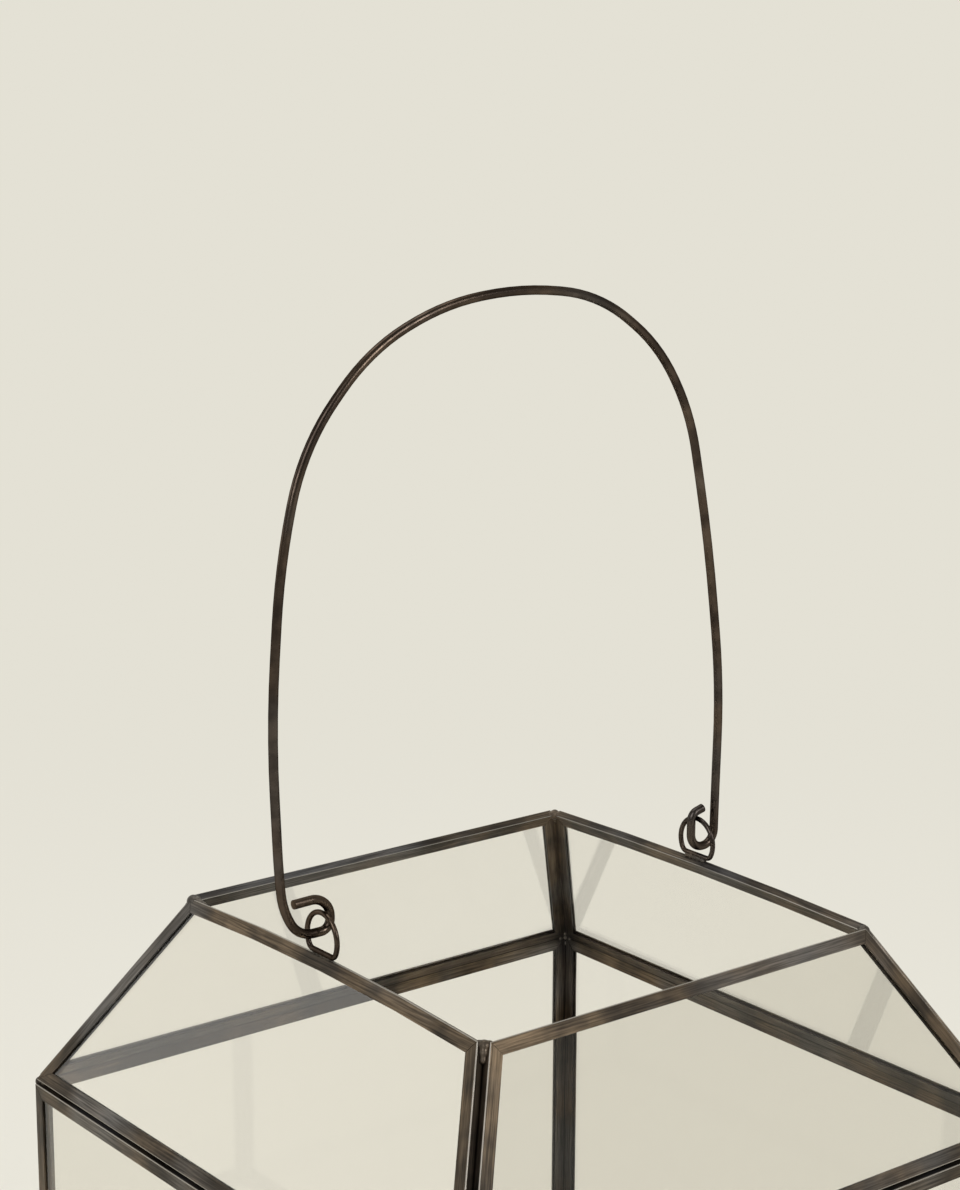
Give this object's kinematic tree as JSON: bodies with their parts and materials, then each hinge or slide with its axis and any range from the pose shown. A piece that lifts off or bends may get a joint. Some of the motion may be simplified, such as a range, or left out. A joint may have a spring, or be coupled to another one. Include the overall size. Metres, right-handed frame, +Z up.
{
  "type": "candle lantern",
  "caption": "Open-topped square glass lantern with sloping roof panes in folded metal frames and a swinging wire bail.",
  "frame": {"origin": "middle of the underside, on the table", "axes": "+Z up, +X along the span of the bail, +Y to the back"},
  "size_m": [0.2496, 0.2496, 0.4834],
  "materials": {
    "strip": "dark antique patina",
    "wire": "dark antique patina, drawn wire",
    "solder": "patinated solder",
    "pane_glass": "clear float glass"
  },
  "bodies": {
    "lantern": {"roof_frame_front": "strip", "roof_frame_right": "strip", "roof_frame_back": "strip", "roof_frame_left": "strip", "body_frame_front": "strip", "body_frame_right": "strip", "body_frame_back": "strip", "body_frame_left": "strip", "floor_frame": "strip", "roof_pane_front": "pane_glass", "roof_pane_right": "pane_glass", "roof_pane_back": "pane_glass", "roof_pane_left": "pane_glass", "body_pane_front": "pane_glass", "body_pane_right": "pane_glass", "body_pane_back": "pane_glass", "body_pane_left": "pane_glass", "floor_plate": "pane_glass", "rim_solder": "solder", "shoulder_solder": "solder", "base_solder": "solder", "bail_ring_left": "wire", "bail_ring_right": "wire", "ring_solder_left": "solder", "ring_solder_right": "solder"},
    "bail": {"bail": "wire"}
  },
  "joints": [
    {"name": "bail_swing", "type": "hinge", "parent": "lantern", "child": "bail", "pos_m": [0, 0.0023, 0.27948], "axis": [1, 0, 0], "range_deg": [-95, 95]}
  ]
}
